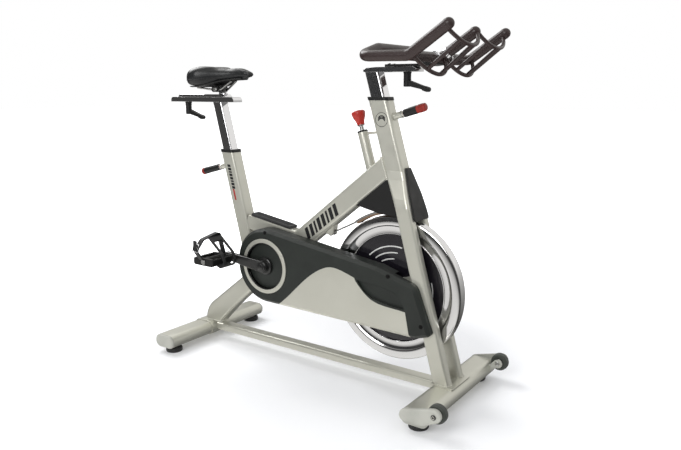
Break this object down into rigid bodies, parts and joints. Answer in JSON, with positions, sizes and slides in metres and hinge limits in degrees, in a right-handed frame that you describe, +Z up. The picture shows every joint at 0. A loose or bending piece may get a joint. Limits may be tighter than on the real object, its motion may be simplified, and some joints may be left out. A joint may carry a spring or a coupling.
{
  "type": "exercise bike",
  "caption": "Upright indoor exercise bike: tube frame, weighted chain-driven flywheel with friction brake, sliding saddle and handlebar, toe-clip pedals, transport wheels.",
  "frame": {"origin": "on the floor, under the middle of the machine's length and width", "axes": "+X forwards (the way the rider faces), +Y to the rider's left, +Z up"},
  "size_m": [1.268, 0.502, 1.113],
  "materials": {
    "cap_plastic": "satin",
    "frame_paint": "satin",
    "guard_plastic": "satin",
    "panel_metal": "satin",
    "black_plastic": "satin",
    "collar_plastic": "satin",
    "rubber": "matte",
    "wheel_rubber": "matte",
    "chrome": "polished",
    "rim_chrome": "polished",
    "disc_paint": "gloss",
    "steel": "machined",
    "chain_steel": "oiled",
    "black_metal": "satin",
    "bar_coating": "matte",
    "cage_coating": "matte",
    "saddle_vinyl": "satin",
    "knob_red": "gloss",
    "pin_grip": "satin",
    "brake_felt": "matte",
    "strap_webbing": "satin"
  },
  "bodies": {
    "frame": {"front_bar": "frame_paint", "rear_bar": "frame_paint", "rear_end_caps": "cap_plastic", "front_end_caps": "cap_plastic", "screws": "steel", "rubber_feet": "rubber", "floor_plates": "frame_paint", "base_tube": "frame_paint", "fork_legs": "frame_paint", "head_tube": "frame_paint", "seat_tube": "frame_paint", "down_tube": "frame_paint", "rear_strut": "frame_paint", "bottom_bracket_shell": "frame_paint", "gusset_tube": "frame_paint", "step_pad": "rubber", "post_sleeves": "collar_plastic", "fork_covers": "black_plastic", "axle_brackets": "frame_paint", "bearings": "steel", "guard_cover": "guard_plastic", "guard_panel": "panel_metal", "guard_ring": "panel_metal", "guard_back": "guard_plastic", "drive_chain": "chain_steel", "resistance_tube": "frame_paint"},
    "flywheel": {"flywheel_rim": "rim_chrome", "flywheel_disc": "disc_paint", "flywheel_hub": "black_metal", "flywheel_axle": "steel", "flywheel_sprocket": "steel"},
    "crank": {"crank_axle": "steel", "chainring": "black_metal", "crank_arm_right": "black_metal", "crank_arm_left": "black_metal", "pedal_spindles": "steel"},
    "right_pedal": {"pedal_right": "black_plastic", "toe_clip_right": "strap_webbing"},
    "left_pedal": {"pedal_left": "black_plastic", "toe_clip_left": "strap_webbing"},
    "right_wheel": {"transport_wheel_right": "wheel_rubber"},
    "left_wheel": {"transport_wheel_left": "wheel_rubber"},
    "seat_mast": {"seat_post": "chrome"},
    "saddle": {"seat_carriage": "chrome", "saddle_clamp": "black_metal", "saddle_rails": "steel", "saddle_shell": "black_plastic", "saddle_pad": "saddle_vinyl"},
    "seat_clamp_lever": {"seat_lever": "black_plastic"},
    "seat_pop_pin": {"seat_pin": "pin_grip"},
    "bar_mast": {"head_post": "chrome"},
    "bars": {"bar_carriage": "black_metal", "handlebar": "bar_coating", "bottle_cages": "cage_coating"},
    "bar_clamp_lever": {"bar_lever": "black_plastic"},
    "head_pop_pin": {"head_pin": "pin_grip"},
    "brake_press": {"brake_rod": "steel"},
    "knob": {"resistance_knob": "knob_red"},
    "brake": {"brake_arm": "steel", "brake_pad": "brake_felt"}
  },
  "joints": [
    {"name": "flywheel_spin", "type": "hinge", "parent": "frame", "child": "flywheel", "pos_m": [0.3405, 0, 0.329], "axis": [0, 1, 0], "continuous": true},
    {"name": "crank_spin", "type": "hinge", "parent": "frame", "child": "crank", "pos_m": [-0.1355, 0, 0.3415], "axis": [0, 1, 0], "continuous": true},
    {"name": "right_pedal_spin", "type": "hinge", "parent": "crank", "child": "right_pedal", "pos_m": [-0.2996, 0, 0.35875], "axis": [0, 1, 0], "continuous": true},
    {"name": "left_pedal_spin", "type": "hinge", "parent": "crank", "child": "left_pedal", "pos_m": [0.0286, 0, 0.32425], "axis": [0, 1, 0], "continuous": true},
    {"name": "right_wheel_spin", "type": "hinge", "parent": "frame", "child": "right_wheel", "pos_m": [0.6065, 0, 0.069], "axis": [0, 1, 0], "continuous": true},
    {"name": "left_wheel_spin", "type": "hinge", "parent": "frame", "child": "left_wheel", "pos_m": [0.6065, 0, 0.069], "axis": [0, 1, 0], "continuous": true},
    {"name": "seat_height", "type": "slide", "parent": "frame", "child": "seat_mast", "axis": [-0.2504, 0, 0.9681], "range_m": [-0.14, 0.1]},
    {"name": "seat_reach", "type": "slide", "parent": "seat_mast", "child": "saddle", "axis": [1, 0, 0], "range_m": [-0.042, 0.05]},
    {"name": "seat_lever_turn", "type": "hinge", "parent": "saddle", "child": "seat_clamp_lever", "pos_m": [-0.5645, 0, 0.87], "axis": [0, 0, 1], "range_deg": [-90, 60]},
    {"name": "seat_pin_pull", "type": "slide", "parent": "frame", "child": "seat_pop_pin", "axis": [-0.9681, 0, -0.2504], "range_m": [0, 0.01], "stiffness_N_per_m": 900, "springref_m": -0.004},
    {"name": "bar_height", "type": "slide", "parent": "frame", "child": "bar_mast", "axis": [-0.2823, 0, 0.9593], "range_m": [-0.04, 0.09]},
    {"name": "bar_reach", "type": "slide", "parent": "bar_mast", "child": "bars", "axis": [1, 0, 0], "range_m": [-0.03, 0.004]},
    {"name": "bar_lever_turn", "type": "hinge", "parent": "bars", "child": "bar_clamp_lever", "pos_m": [0.3665, 0, 0.97], "axis": [0, 0, 1], "range_deg": [-90, 90]},
    {"name": "head_pin_pull", "type": "slide", "parent": "frame", "child": "head_pop_pin", "axis": [0.9593, 0, 0.2823], "range_m": [0, 0.01], "stiffness_N_per_m": 900, "springref_m": -0.004},
    {"name": "brake_press", "type": "slide", "parent": "frame", "child": "brake_press", "axis": [0.2823, 0, -0.9593], "range_m": [0, 0.0035], "stiffness_N_per_m": 3000, "springref_m": -0.004},
    {"name": "knob_turn", "type": "hinge", "parent": "brake_press", "child": "knob", "pos_m": [0.2819, 0, 0.5689], "axis": [-0.2823, 0, 0.9593], "range_deg": [-720, 720]},
    {"name": "brake_arm_turn", "type": "hinge", "parent": "frame", "child": "brake", "pos_m": [0.0965, 0, 0.474], "axis": [0, 1, 0], "range_deg": [0, 1]}
  ],
  "couplings": [
    {"joint": "crank_spin", "follows": "flywheel_spin", "ratio": 0.32692},
    {"joint": "brake_arm_turn", "follows": "brake_press", "rad_per_m": 4.89}
  ]
}
